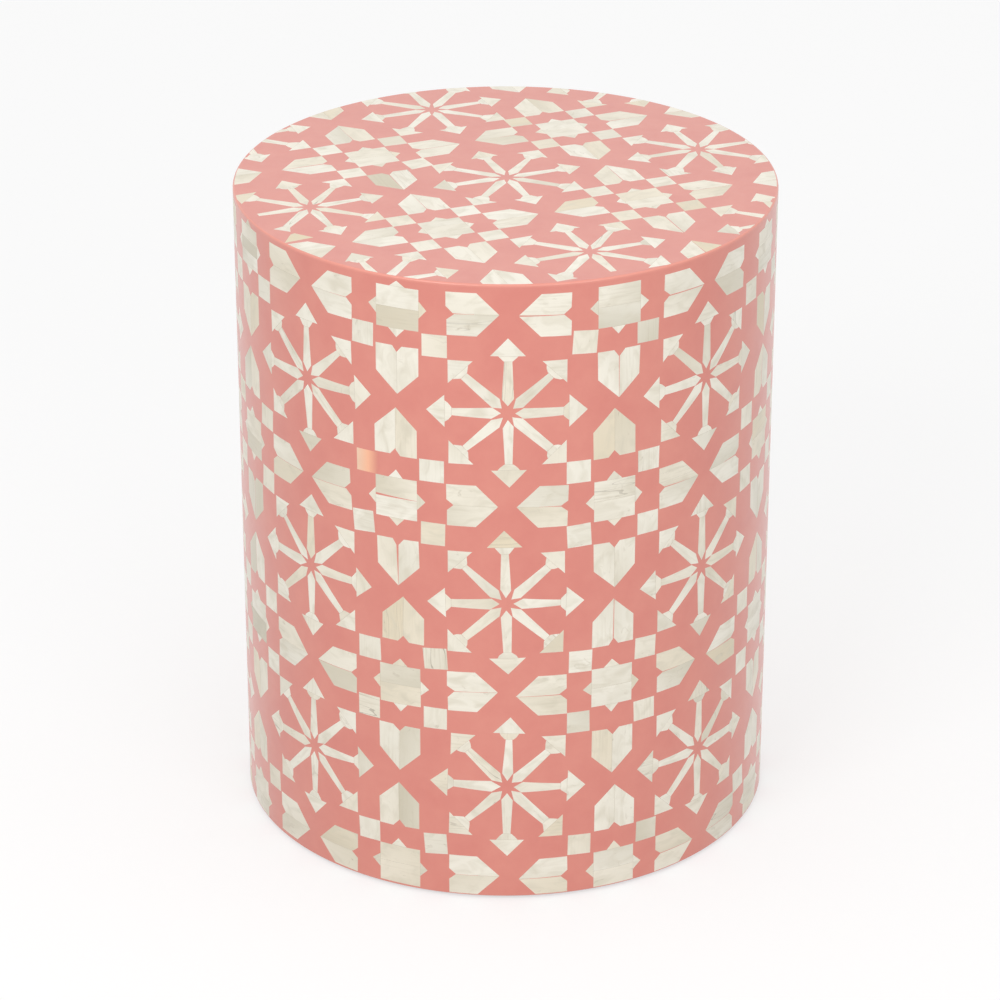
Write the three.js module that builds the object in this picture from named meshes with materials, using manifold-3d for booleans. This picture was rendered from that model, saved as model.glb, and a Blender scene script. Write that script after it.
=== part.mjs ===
// A round drum stool: a plywood drum, skinned in coral resin and laid with a lattice of bone.
// Millimetres, +Z up. The origin is on the floor under the drum's axis, and the front faces -Y.
import * as THREE from "three";
import { mergeVertices } from "three/addons/utils/BufferGeometryUtils.js";
import Module from "manifold-3d";

const wasm = await Module();
wasm.setup();

// Driving dimensions
const stoolDiameter = 365;
const stoolHeight = 450;
const columns = 8; // pattern tiles round the wall
const rows = 3; // pattern tiles up the wall
const seam = 0.3; // left between glued pieces
const overrun = 1; // how far a cutter runs past what it cuts

// The skin: bone tesserae bedded in resin
const boneThickness = 0.9;
const boneBedding = 1; // resin under a flat tessera where the wall curves away from it
const groundThickness = 2;
const topMargin = 1; // from the rim to the upper tips of the top row
const bottomMargin = 1.6; // from the wall's lower edge to the bottom row
const rimEasing = 2.2; // the rounded rim, which the top's tesserae stop short of

// The drum: a bent plywood wall on three ring formers, spaced by posts
const wallThickness = 9;
const boardThickness = 18;
const ringWidth = 48;
const postDepth = 18;
const postWidth = 40;
const postCount = 4;

// The base: a recessed board on four glides
const baseThickness = 12;
const baseRecess = 3;
const floorGap = 2; // the wall's lower edge stands clear of the floor
const glideDiameter = 25;
const glideTaper = 1; // a glide is this much narrower where it meets the floor
const glideInset = 22; // from the base board's edge to a glide's edge
const glideCount = 4;

// Facets on round pieces
const shownFacets = 64;
const hiddenFacets = 32;
const glideFacets = 20;

// Outlines of the tesserae, as shares of one pattern tile measured from the centre of each motif
const tileShares = {
  squareInner: 0.1075, // where the star's corner meets a small square
  squareOuter: 0.2235, // where that square meets a heart and an arrowhead
  starTip: 0.143,
  starTipHalf: 0.034,
  heartNotch: 0.032,
  heartNotchHalf: 0.029,
  heartShoulder: 0.362,
  heartApex: 0.4675,
  spokeTip: 0.033,
  spokeShoulder: 0.081,
  spokeWaistHalf: 0.0165,
  arrowApex: 0.375,
  arrowLength: 0.084,
  arrowHalf: 0.084,
  neckLength: 0.032,
  neckHalf: 0.045,
  bridge: 0.0031, // half the width of the corner where two tesserae touch
};
const mergeShare = 1e-6; // points nearer than this are one
const flatShare = 1e-6; // below this a facet is flat, or a difference is none

// Sizes that follow from those above
const stoolRadius = stoolDiameter / 2;
const groundRadius = stoolRadius - boneThickness - boneBedding;
const wallRadius = (groundRadius - groundThickness) * Math.cos(Math.PI / shownFacets) - seam;
const boreRadius = wallRadius - wallThickness;
const formerRadius = boreRadius - seam;
const topBoneBottom = stoolHeight - boneThickness;
const topGroundTop = topBoneBottom - seam;
const topGroundBottom = topGroundTop - groundThickness;
const topBoardTop = topGroundBottom - seam;
const topBoardBottom = topBoardTop - boardThickness;
const wallTop = topBoardBottom - seam;
const baseBottom = floorGap + baseRecess;
const baseTop = baseBottom + baseThickness;

const boneMaterial = new THREE.MeshStandardMaterial({ color: "#ecebdf", roughness: 0.4, metalness: 0 });
const resinMaterial = new THREE.MeshStandardMaterial({ color: "#e38f83", roughness: 0.35, metalness: 0 });
const boardMaterial = new THREE.MeshStandardMaterial({ color: "#a8855c", roughness: 0.8, metalness: 0 });
const plyMaterial = new THREE.MeshStandardMaterial({ color: "#c9a878", roughness: 0.75, metalness: 0 });
const pineMaterial = new THREE.MeshStandardMaterial({ color: "#d8b983", roughness: 0.75, metalness: 0 });
const glideMaterial = new THREE.MeshStandardMaterial({ color: "#e6e3da", roughness: 0.5, metalness: 0 });

const stool = new THREE.Group();

function add(name, geometry, material, turn = 0) {
  const mesh = new THREE.Mesh(geometry, material);
  mesh.name = name;
  mesh.rotation.z = turn;
  stool.add(mesh);
  return mesh;
}

// A ring or tube, revolved from its rectangular section
function ring(outerRadius, innerRadius, bottom, top, facets) {
  const section = [
    new THREE.Vector2(innerRadius, bottom),
    new THREE.Vector2(outerRadius, bottom),
    new THREE.Vector2(outerRadius, top),
    new THREE.Vector2(innerRadius, top),
    new THREE.Vector2(innerRadius, bottom),
  ];
  return new THREE.LatheGeometry(section, facets).rotateX(Math.PI / 2);
}

function disc(topRadius, bottomRadius, bottom, top, facets) {
  const thickness = top - bottom;
  return new THREE.CylinderGeometry(topRadius, bottomRadius, thickness, facets)
    .rotateX(Math.PI / 2)
    .translate(0, 0, bottom + thickness / 2);
}

// The drum's carcass: board, wall and formers
function addCarcass() {
  add("top_board", disc(wallRadius, wallRadius, topBoardBottom, topBoardTop, hiddenFacets), boardMaterial);
  add("wall_ply", ring(wallRadius, boreRadius, floorGap, wallTop, hiddenFacets), plyMaterial);

  const bottomRingBottom = baseTop + seam;
  const topRingBottom = wallTop - boardThickness;
  const middleRingBottom = (bottomRingBottom + topRingBottom) / 2;
  const ringBottoms = {
    bottom_ring: bottomRingBottom,
    middle_ring: middleRingBottom,
    top_ring: topRingBottom,
  };
  for (const [name, bottom] of Object.entries(ringBottoms)) {
    const former = ring(formerRadius, formerRadius - ringWidth, bottom, bottom + boardThickness, hiddenFacets);
    add(name, former, boardMaterial);
  }

  addPosts("lower_post", bottomRingBottom + boardThickness + seam, middleRingBottom - seam);
  addPosts("upper_post", middleRingBottom + boardThickness + seam, topRingBottom - seam);
}

// Softwood posts between two formers, on the middle of the rings
function addPosts(name, bottom, top) {
  const postRadius = formerRadius - ringWidth / 2;
  for (let i = 0; i < postCount; i++) {
    const post = new THREE.BoxGeometry(postDepth, postWidth, top - bottom);
    post.translate(postRadius, 0, (bottom + top) / 2);
    add(`${name}_${i + 1}`, post, pineMaterial, ((i + 1 / 2) * 2 * Math.PI) / postCount);
  }
}

// The base board closes the drum, and the glides under it carry the stool
function addBase() {
  add("base_board", disc(formerRadius, formerRadius, baseBottom, baseTop, hiddenFacets), boardMaterial);

  const glideRadius = glideDiameter / 2;
  const glideTop = baseBottom - seam;
  const glideCircle = formerRadius - glideInset - glideRadius;
  for (let i = 0; i < glideCount; i++) {
    const glide = disc(glideRadius, glideRadius - glideTaper, 0, glideTop, glideFacets);
    glide.translate(glideCircle, 0, 0);
    add(`glide_${i + 1}`, glide, glideMaterial, ((i + 1 / 2) * 2 * Math.PI) / glideCount);
  }
}

// The resin ground: a sleeve round the wall and a sheet over the top
function addGround() {
  const sleeve = ring(groundRadius, groundRadius - groundThickness, floorGap, topGroundBottom - seam, shownFacets);
  add("side_ground", sleeve, resinMaterial);
  add("top_ground", disc(groundRadius, groundRadius, topGroundBottom, topGroundTop, shownFacets), resinMaterial);
}

const quarterTurn = Math.PI / 2;
const eighthTurn = Math.PI / 4;
const middle = new THREE.Vector2(0, 0);

// A tessera is a face outline, anticlockwise from outside, over a bed outline that is cut back.
// Each face point names the bed point that its wall leans down to: the last one added before it.
class Tessera {
  turn = 0;
  face = [];
  bed = [];
  foot = [];

  turned(u, v) {
    return new THREE.Vector2(u, v).rotateAround(middle, this.turn);
  }

  addBed(u, v) {
    this.bed.push(this.turned(u, v));
  }

  addFace(u, v) {
    this.face.push(this.turned(u, v));
    this.foot.push(this.bed.length - 1);
  }

  // A corner with the bed straight under the face
  addCorner(u, v) {
    this.addBed(u, v);
    this.addFace(u, v);
  }

  // A corner cut to a short edge, square to the way it points, where it can touch another tessera
  addBlunt(u, v, heading) {
    const along = tileShares.bridge * Math.cos(heading);
    const across = tileShares.bridge * Math.sin(heading);
    this.addFace(u + across, v - along);
    this.addFace(u - across, v + along);
  }

  addJoint(u, v, heading) {
    this.addBed(u, v);
    this.addBlunt(u, v, heading);
  }
}

// The star: a square with a triangular tip on its right, top and left sides, and below if asked
function makeStar(tipCount) {
  const half = tileShares.squareInner;
  const side = half + tileShares.bridge * Math.SQRT1_2;
  const star = new Tessera();
  for (let i = 0; i < 4; i++) {
    star.turn = i * quarterTurn;
    star.addJoint(half, -half, -eighthTurn);
    if (i < tipCount) {
      star.addFace(side, -tileShares.starTipHalf);
      star.addFace(tileShares.starTip, 0);
      star.addFace(side, tileShares.starTipHalf);
    }
  }
  return star;
}

// The small square off the star's upper right corner
function makeSquare(turn) {
  const inner = tileShares.squareInner;
  const outer = tileShares.squareOuter;
  const square = new Tessera();
  square.turn = turn;
  square.addJoint(inner, inner, -3 * eighthTurn);
  square.addJoint(outer, inner, -eighthTurn);
  square.addJoint(outer, outer, eighthTurn);
  square.addJoint(inner, outer, 3 * eighthTurn);
  return square;
}

// The heart off the star's right tip: notched towards the star and pointed away from it
function makeHeart(turn) {
  const half = tileShares.squareInner;
  const base = tileShares.squareOuter;
  const slack = tileShares.bridge * Math.SQRT1_2;
  const heart = new Tessera();
  heart.turn = turn;
  heart.addJoint(base, -half, -3 * eighthTurn);
  heart.addBed(tileShares.heartApex, 0);
  heart.addFace(tileShares.heartShoulder, -half - slack);
  heart.addFace(tileShares.heartApex, 0);
  heart.addFace(tileShares.heartShoulder, half + slack);
  heart.addJoint(base, half, 3 * eighthTurn);
  heart.addFace(base - slack, tileShares.heartNotchHalf);
  heart.addCorner(base + tileShares.heartNotch, 0);
  heart.addFace(base - slack, -tileShares.heartNotchHalf);
  return heart;
}

// A spoke of the rosette with its arrowhead. A blunt one can touch a small square, and a bent one
// has its bed bent at the waist, to follow the wall round.
function makeSpoke(turn, apex, isBlunt, isBent) {
  const arrowBase = apex - tileShares.arrowLength;
  const waist = arrowBase - tileShares.neckLength;
  const halfSector = eighthTurn / 2;
  const shoulderU = tileShares.spokeShoulder * Math.cos(halfSector);
  const shoulderV = tileShares.spokeShoulder * Math.sin(halfSector);
  const spoke = new Tessera();
  spoke.turn = turn;
  spoke.addJoint(shoulderU, -shoulderV, -halfSector - quarterTurn);
  if (isBent) {
    spoke.addCorner(waist, -tileShares.spokeWaistHalf);
    spoke.addBed(apex, 0);
  } else {
    spoke.addBed(apex, 0);
    spoke.addFace(waist, -tileShares.spokeWaistHalf);
  }
  spoke.addFace(arrowBase, -tileShares.neckHalf);
  spoke.addFace(arrowBase, -tileShares.arrowHalf);
  if (isBlunt) {
    spoke.addBlunt(apex, 0, 0);
  } else {
    spoke.addFace(apex, 0);
  }
  spoke.addFace(arrowBase, tileShares.arrowHalf);
  spoke.addFace(arrowBase, tileShares.neckHalf);
  if (isBent) {
    spoke.addBed(waist, tileShares.spokeWaistHalf);
  }
  spoke.addFace(waist, tileShares.spokeWaistHalf);
  spoke.addJoint(shoulderU, shoulderV, halfSector + quarterTurn);
  spoke.addFace(tileShares.spokeTip, 0);
  return spoke;
}

// Twice the area of a triangle, positive when it runs anticlockwise
function turnOf(a, b, c) {
  return (b.x - a.x) * (c.y - a.y) - (b.y - a.y) * (c.x - a.x);
}

// Facets of an outline whose inner edges run up the wall rather than round it, so they cut into
// its curve as little as they can
function facetsOf(outline) {
  const facets = THREE.ShapeUtils.triangulateShape(outline, []);
  const reach = (i, j) => Math.abs(outline[i].x - outline[j].x);
  const swapEdge = (one, other) => {
    for (let i = 0; i < 3; i++) {
      const [a, b, p] = [one[i], one[(i + 1) % 3], one[(i + 2) % 3]];
      const j = other.findIndex((corner, k) => corner === b && other[(k + 1) % 3] === a);
      if (j < 0) {
        continue;
      }
      const q = other[(j + 2) % 3];
      const isConvex =
        turnOf(outline[p], outline[a], outline[q]) > flatShare &&
        turnOf(outline[q], outline[b], outline[p]) > flatShare;
      if (isConvex && reach(p, q) < reach(a, b) - flatShare) {
        one.splice(0, 3, p, a, q);
        other.splice(0, 3, q, b, p);
        return true;
      }
    }
    return false;
  };
  let isSettled = false;
  while (!isSettled) {
    isSettled = facets.every((one, i) => facets.slice(i + 1).every((other) => !swapEdge(one, other)));
  }
  return facets;
}

// Tesserae joined into one solid wherever their corners touch
class Lattice {
  points = [];
  indexOf = new Map();
  facets = new Map();

  addPoint(u, v, isBed) {
    const key = [u, v].map((share) => Math.round(share / mergeShare)).join() + isBed;
    if (!this.indexOf.has(key)) {
      this.indexOf.set(key, this.points.length);
      this.points.push({ u, v, isBed });
    }
    return this.indexOf.get(key);
  }

  // Where two tesserae touch, each has the same facet facing the other way, and both go
  addFacet(...corners) {
    const key = [...corners].sort((a, b) => a - b).join();
    if (!this.facets.delete(key)) {
      this.facets.set(key, corners);
    }
  }

  addTessera(tessera, u, v) {
    const face = tessera.face.map((point) => this.addPoint(point.x + u, point.y + v, false));
    const bed = tessera.bed.map((point) => this.addPoint(point.x + u, point.y + v, true));
    for (const [a, b, c] of facetsOf(tessera.face)) {
      this.addFacet(face[a], face[b], face[c]);
    }
    for (const [a, b, c] of facetsOf(tessera.bed)) {
      this.addFacet(bed[c], bed[b], bed[a]);
    }
    face.forEach((from, i) => {
      const next = (i + 1) % face.length;
      const [here, there] = [bed[tessera.foot[i]], bed[tessera.foot[next]]];
      this.addFacet(from, here, face[next]);
      if (here !== there) {
        this.addFacet(here, there, face[next]);
      }
    });
  }

  // The star at u, v, with the small squares and hearts round it
  addStar(u, v, hasAbove = true, hasBelow = true) {
    const squareTurns = [0, 1, 2, 3].filter((i) => (i < 2 ? hasAbove : hasBelow));
    const heartTurns = [0, 2];
    if (hasAbove) {
      heartTurns.push(1);
    }
    if (hasBelow) {
      heartTurns.push(3);
    }
    this.addTessera(makeStar(hasBelow ? 4 : 3), u, v);
    squareTurns.forEach((i) => this.addTessera(makeSquare(i * quarterTurn), u, v));
    heartTurns.forEach((i) => this.addTessera(makeHeart(i * quarterTurn), u, v));
  }

  // The rosette at u, v. Its diagonal arrowheads meet the small squares, but for those on the left
  // of a lattice on the wall: they stop short of the next lattice's squares.
  addRosette(u, v, isOnWall = false, leftGapShare = 0) {
    const corner = (1 / 2 - tileShares.squareOuter) * Math.SQRT2;
    for (let i = 0; i < 8; i++) {
      const isDiagonal = i % 2 === 1;
      const isLeft = i > 2 && i < 6;
      const isBent = isOnWall && i % 4 === 0;
      const meeting = corner - (isLeft ? leftGapShare : 0);
      const apex = isDiagonal ? meeting : tileShares.arrowApex;
      this.addTessera(makeSpoke(i * eighthTurn, apex, isDiagonal, isBent), u, v);
    }
  }

  geometry(place) {
    const positions = this.points.flatMap(({ u, v, isBed }) => place(u, v, isBed).toArray());
    const geometry = new THREE.BufferGeometry();
    geometry.setAttribute("position", new THREE.Float32BufferAttribute(positions, 3));
    geometry.setIndex([...this.facets.values()].flat());
    return geometry;
  }
}

// The wall's inlay: one lattice for each column, wrapped on the wall
function addWallInlay() {
  const columnTurn = (2 * Math.PI) / columns;
  const lowest = floorGap + bottomMargin;
  const starHalfShare = tileShares.squareInner + tileShares.bridge * Math.SQRT1_2;
  const tileHeight = (stoolHeight - topMargin - lowest) / (rows + tileShares.starTip + starHalfShare);
  const topStar = stoolHeight - topMargin - tileShares.starTip * tileHeight;
  const column = new Lattice();
  for (let row = 0; row <= rows; row++) {
    column.addStar(1 / 2, -row, row > 0, row < rows);
  }
  for (let row = 0; row < rows; row++) {
    column.addRosette(0, -row - 1 / 2, true, (seam * Math.SQRT2) / tileHeight);
  }
  const geometry = column.geometry((u, v, isBed) => {
    const radius = stoolRadius - (isBed ? boneThickness : 0);
    const angle = u * columnTurn - quarterTurn;
    return new THREE.Vector3(radius * Math.cos(angle), radius * Math.sin(angle), topStar + v * tileHeight);
  });
  for (let i = 0; i < columns; i++) {
    add(`wall_inlay_${i + 1}`, geometry, boneMaterial, i * columnTurn);
  }
}

function solidOf(geometry) {
  const bare = new THREE.BufferGeometry();
  bare.setAttribute("position", geometry.getAttribute("position"));
  bare.setIndex(geometry.getIndex());
  const merged = mergeVertices(bare);
  const mesh = new wasm.Mesh({
    numProp: 3,
    vertProperties: merged.getAttribute("position").array,
    triVerts: new Uint32Array(merged.getIndex().array),
  });
  return new wasm.Manifold(mesh);
}

function geometryOf(solid) {
  const mesh = solid.getMesh();
  const geometry = new THREE.BufferGeometry();
  geometry.setAttribute("position", new THREE.BufferAttribute(mesh.vertProperties, 3));
  geometry.setIndex(new THREE.BufferAttribute(mesh.triVerts, 1));
  return geometry;
}

// The top's inlay: the same tiles laid flat round a middle rosette, turned half a column and cut
// off at the rim. What the rim cuts free of the lattice is a tessera of its own.
function addTopInlay() {
  const tile = (Math.PI * stoolDiameter) / columns;
  const cutRadius = stoolRadius - rimEasing;
  const reach = Math.ceil(cutRadius / tile);
  const sheet = new Lattice();
  for (let i = -reach; i <= reach; i++) {
    for (let j = -reach; j <= reach; j++) {
      if (Math.hypot(i, j) * tile < cutRadius + tile * tileShares.arrowApex) {
        sheet.addRosette(i, j);
      }
      if (Math.hypot(i + 1 / 2, j + 1 / 2) * tile < cutRadius + tile * tileShares.heartApex) {
        sheet.addStar(i + 1 / 2, j + 1 / 2);
      }
    }
  }
  const geometry = sheet.geometry((u, v, isBed) => {
    const height = isBed ? topBoneBottom : stoolHeight;
    return new THREE.Vector3(u * tile, v * tile, height);
  });
  geometry.rotateZ(Math.PI / columns);
  const cutter = disc(cutRadius, cutRadius, topGroundTop - overrun, stoolHeight + overrun, shownFacets);
  const pieces = solidOf(geometry).intersect(solidOf(cutter)).decompose();
  pieces.sort((a, b) => b.volume() - a.volume());
  const [field, ...cut] = pieces;
  add("top_inlay", geometryOf(field), boneMaterial);
  cut.forEach((piece, i) => add(`rim_tessera_${i + 1}`, geometryOf(piece), boneMaterial));
}

addCarcass();
addBase();
addGround();
addWallInlay();
addTopInlay();

export default stool;
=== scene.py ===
import math
import random

import bmesh
import bpy
from mathutils import Matrix, Vector


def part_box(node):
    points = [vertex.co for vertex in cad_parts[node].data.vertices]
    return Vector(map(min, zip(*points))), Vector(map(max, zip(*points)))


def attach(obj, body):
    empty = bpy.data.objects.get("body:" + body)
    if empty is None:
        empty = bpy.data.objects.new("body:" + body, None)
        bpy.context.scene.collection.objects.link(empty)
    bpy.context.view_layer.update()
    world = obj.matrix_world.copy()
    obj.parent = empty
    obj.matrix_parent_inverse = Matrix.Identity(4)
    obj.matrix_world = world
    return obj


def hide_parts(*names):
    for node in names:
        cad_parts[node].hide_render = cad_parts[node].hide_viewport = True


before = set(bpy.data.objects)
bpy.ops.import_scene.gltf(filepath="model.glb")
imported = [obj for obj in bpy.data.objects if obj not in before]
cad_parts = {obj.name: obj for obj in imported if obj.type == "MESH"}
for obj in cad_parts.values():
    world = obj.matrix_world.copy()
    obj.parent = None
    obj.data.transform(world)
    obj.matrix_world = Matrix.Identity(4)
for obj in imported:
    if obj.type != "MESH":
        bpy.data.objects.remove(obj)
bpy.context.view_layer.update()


# THE CARCASS
# A fibreboard top and three ring formers, held apart by softwood posts. All of it is shut inside
# the drum. The boards are sawn and sanded, and the posts are planed pine.

MM = 0.001
FIBRE_FLECK = (1.6, 1.6, 1.6)
GROWTH_LINE = (4, 4, 90)


def linear(hex_code):
    """An sRGB hex colour as the linear colour that a socket takes."""
    shades = [int(hex_code[i : i + 2], 16) / 255 for i in (1, 3, 5)]
    return [s / 12.92 if s <= 0.04045 else ((s + 0.055) / 1.055) ** 2.4 for s in shades] + [1]


def link(material, source, target):
    """Links a socket to another. A node stands for its first output."""
    if isinstance(source, bpy.types.Node):
        source = source.outputs[0]
    material.node_tree.links.new(source, target)


def add_node(material, kind, inputs=None, **settings):
    """Adds a node with its settings. Each input is a value, or a socket or node to link."""
    node = material.node_tree.nodes.new(kind)
    for name, value in settings.items():
        setattr(node, name, value)
    for name, value in (inputs or {}).items():
        if isinstance(value, (bpy.types.Node, bpy.types.NodeSocket)):
            link(material, value, node.inputs[name])
        else:
            node.inputs[name].default_value = value
    return node


def start_material(name, hex_code, settings):
    """A new material and its surface, with settings that are the same all over it."""
    material = bpy.data.materials.new(name)
    material.use_nodes = True
    surface = material.node_tree.nodes["Principled BSDF"]
    for socket, value in {"Base Color": linear(hex_code), "IOR": 1.5, **settings}.items():
        surface.inputs[socket].default_value = value
    return material, surface


def lay_colours(material, surface, ground, coats):
    """Colours a surface. Each coat covers what is under it by a share from 0 to 1."""
    colour = linear(ground)
    for share, hex_code in coats:
        inputs = {0: share, 6: colour, 7: linear(hex_code)}
        colour = add_node(material, "ShaderNodeMix", inputs, data_type="RGBA").outputs[2]
    link(material, colour, surface.inputs["Base Color"])


def fleck(material, surface, size, dark, light, detail, roughness=0.5):
    """Lets a material's colour run from dark to light in flecks of a size in mm, and returns the
    pattern that they follow."""
    where = add_node(material, "ShaderNodeTexCoord")
    inputs = {"Vector": where.outputs["Object"], "Scale": [1 / (mm * MM) for mm in size]}
    scaled = add_node(material, "ShaderNodeMapping", inputs)
    inputs = {"Vector": scaled, "Scale": 1, "Detail": detail, "Roughness": roughness}
    pattern = add_node(material, "ShaderNodeTexNoise", inputs)
    lay_colours(material, surface, dark, [(pattern, light)])
    return pattern


# Fibreboard: pressed wood fibre, sanded. An even brown, flecked and faintly rough with fibres.
fibreboard, fibreboard_surface = start_material("fibreboard_sanded", "#a9865f", {"Roughness": 0.8})
fibres = fleck(fibreboard, fibreboard_surface, FIBRE_FLECK, "#8d6a46", "#c39f76", 3, 0.7)
fibre_bump = add_node(
    fibreboard, "ShaderNodeBump", {"Height": fibres, "Strength": 0.25, "Distance": 0.2 * MM}
)
link(fibreboard, fibre_bump, fibreboard_surface.inputs["Normal"])

# Pine: planed softwood. Pale and dark growth lines run up each post.
pine, pine_surface = start_material("pine_planed", "#d6b583", {"Roughness": 0.6})
fleck(pine, pine_surface, GROWTH_LINE, "#b98a52", "#e6cd9f", 4)

for material, names in (
    (fibreboard, ["top_board", "bottom_ring", "middle_ring", "top_ring"]),
    (pine, [f"{level}_post_{i}" for level in ("lower", "upper") for i in (1, 2, 3, 4)]),
):
    for name in names:
        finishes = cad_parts[name].data.materials
        finishes.clear()
        finishes.append(material)


# THE DRUM WALL
# Bending plywood, rolled round the formers and glued. Only its lower edge shows, from below: five
# plies, light face plies and a darker core between glue lines.

TURN_STEPS = 144  # facets round every turned piece, so that their edges line up
SAME_SPOT = 0.001  # mm; corners closer than this are one
SHARP_ANGLE = math.radians(35)


def revolve(profile, steps=TURN_STEPS):
    """A closed profile of (radius, height) in mm, spun about the stool's axis."""
    mesh = bmesh.new()
    corners = [mesh.verts.new((radius * MM, 0, height * MM)) for radius, height in profile]
    sides = zip(corners, corners[1:] + corners[:1])
    edges = [mesh.edges.new((a, b)) for a, b in sides if a.co.x > 0 or b.co.x > 0]
    bmesh.ops.spin(
        mesh, geom=corners + edges, axis=(0, 0, 1), angle=2 * math.pi, steps=steps, use_merge=True
    )
    bmesh.ops.remove_doubles(mesh, verts=mesh.verts, dist=SAME_SPOT * MM)
    bmesh.ops.dissolve_degenerate(mesh, edges=mesh.edges, dist=SAME_SPOT * MM)
    bmesh.ops.recalc_face_normals(mesh, faces=mesh.faces)
    return mesh


def as_object(mesh, name):
    """Turns a finished bmesh into an object of the scene."""
    data = bpy.data.meshes.new(name)
    mesh.to_mesh(data)
    mesh.free()
    thing = bpy.data.objects.new(name, data)
    bpy.context.scene.collection.objects.link(thing)
    return thing


def finish_piece(piece, material):
    """Gives a piece its material, and smooth faces between sharp edges."""
    piece.data.materials.append(material)
    piece.data.shade_smooth()
    piece.data.set_sharp_from_angle(angle=SHARP_ANGLE)
    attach(piece, "root")


def place(mesh, name, material, nodes):
    """Makes a piece of a finished bmesh, and hides the CAD nodes that it stands for."""
    piece = as_object(mesh, name)
    finish_piece(piece, material)
    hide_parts(*nodes)
    return piece


ply_low, ply_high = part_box("wall_ply")
PLY_OUTER = ply_high.x / MM
PLY_INNER = PLY_OUTER - 9
PLY_FOOT, PLY_HEAD = ply_low.z / MM, ply_high.z / MM
PLY_EASE = 0.5
PLY_FIBRE = 1.2

# Bending plywood: sawn edge. Its plies show as rings of two browns, with dark glue between them.
ply, ply_surface = start_material("bending_plywood_edge", "#c9a878", {"Roughness": 0.7})
where = add_node(ply, "ShaderNodeTexCoord")
flattened = add_node(
    ply, "ShaderNodeVectorMath", {0: where.outputs["Object"], 1: (1, 1, 0)}, operation="MULTIPLY"
)
off_axis = add_node(ply, "ShaderNodeVectorMath", {0: flattened}, operation="LENGTH")
depth = add_node(
    ply, "ShaderNodeMapRange", {0: off_axis.outputs[1], 1: PLY_INNER * MM, 2: PLY_OUTER * MM}
)
layers = add_node(ply, "ShaderNodeValToRGB", {0: depth})
layers.color_ramp.interpolation = "CONSTANT"
for share, hex_code in (
    (0, "#d9bd8d"), (0.19, "#6f4f30"), (0.21, "#b98f5e"), (0.39, "#6f4f30"), (0.41, "#d3b482"),
    (0.59, "#6f4f30"), (0.61, "#b98f5e"), (0.79, "#6f4f30"), (0.81, "#d9bd8d"),
):
    layers.color_ramp.elements.new(share).color = linear(hex_code)
inputs = {"Vector": where.outputs["Object"], "Scale": 1 / (PLY_FIBRE * MM), "Detail": 2}
ply_fibres = add_node(ply, "ShaderNodeTexNoise", inputs)
inputs = {0: 0.35, 6: layers, 7: ply_fibres.outputs[1]}
ply_colour = add_node(ply, "ShaderNodeMix", inputs, data_type="RGBA", blend_type="SOFT_LIGHT")
link(ply, ply_colour.outputs[2], ply_surface.inputs["Base Color"])

wall_profile = [
    (PLY_INNER, PLY_FOOT + PLY_EASE),
    (PLY_INNER + PLY_EASE, PLY_FOOT),
    (PLY_OUTER - PLY_EASE, PLY_FOOT),
    (PLY_OUTER, PLY_FOOT + PLY_EASE),
    (PLY_OUTER, PLY_HEAD),
    (PLY_INNER, PLY_HEAD),
]
place(revolve(wall_profile), "ply_wall", ply, ["wall_ply"])


# THE BASE BOARD
# A round of fibreboard let 3 mm into the foot of the drum, edges eased with a router. Eight
# countersunk screws hold it up against the lowest former.

base_low, base_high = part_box("base_board")
BASE_RADIUS = base_high.x / MM
BASE_FOOT, BASE_HEAD = base_low.z / MM, base_high.z / MM
BASE_EASE = 0.8
SCREW_CIRCLE = 157
SCREW_COUNT = 8
SCREW_SEGMENTS = 24
SCREW_RADIUS, SCREW_NECK, SCREW_HEAD_DEPTH = 4, 1.3, 2.6
SCREW_EASE = 0.3
SCREW_SINK = 0.3  # how far a head lies under the face of the board
SINK_MARGIN, SINK_NECK, SINK_DEPTH = 1.2, 1.2, 4  # the margin is round the head
SINK_BELOW = 0.5  # how far its cutter starts below the board
RECESS_LENGTH, RECESS_WIDTH, RECESS_DEPTH = 4.6, 0.95, 1.4
RECESS_TURN = 0.4
LEVEL = 0.01  # mm; corners no further apart in height are on one level
QUARTER = math.pi / 2

LEAST_SPIKE = 0.02 * MM
SPIKE_ANGLE = math.radians(0.5)
CRUMB_CORNERS = 16  # a loose body with fewer corners than this is a crumb


def dress_cut(mesh):
    """Clears up after cutting. Where a face's outline runs out and straight back on itself, this
    spike is split off, because a face that keeps it is filled in wrongly. Faces that lie back to
    back enclose nothing and are taken out, and so are crumbs that stand alone."""
    for face in list(mesh.faces):
        while len(face.verts) > 4:
            for loop in face.loops:
                back, ahead = loop.link_loop_prev.vert, loop.link_loop_next.vert
                out, home = back.co - loop.vert.co, ahead.co - loop.vert.co
                if min(out.length, home.length) > LEAST_SPIKE and out.angle(home) < SPIKE_ANGLE:
                    break
            else:
                break
            tip = loop.vert
            halves = [face, bmesh.utils.face_split(face, back, ahead)[0]]
            face = [half for half in halves if tip not in half.verts][0]
    alike = {}
    for face in mesh.faces:
        alike.setdefault(frozenset(face.verts), []).append(face)
    doubled = [face for faces in alike.values() if len(faces) > 1 for face in faces]
    bmesh.ops.delete(mesh, geom=doubled, context="FACES")
    left, crumbs = set(mesh.verts), set()
    while left:
        body = [left.pop()]
        for vert in body:
            beside = {edge.other_vert(vert) for edge in vert.link_edges} & left
            left -= beside
            body.extend(beside)
        if len(body) < CRUMB_CORNERS:
            crumbs.update(body)
    bmesh.ops.delete(mesh, geom=[vert for vert in mesh.verts if vert in crumbs], context="VERTS")


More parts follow.
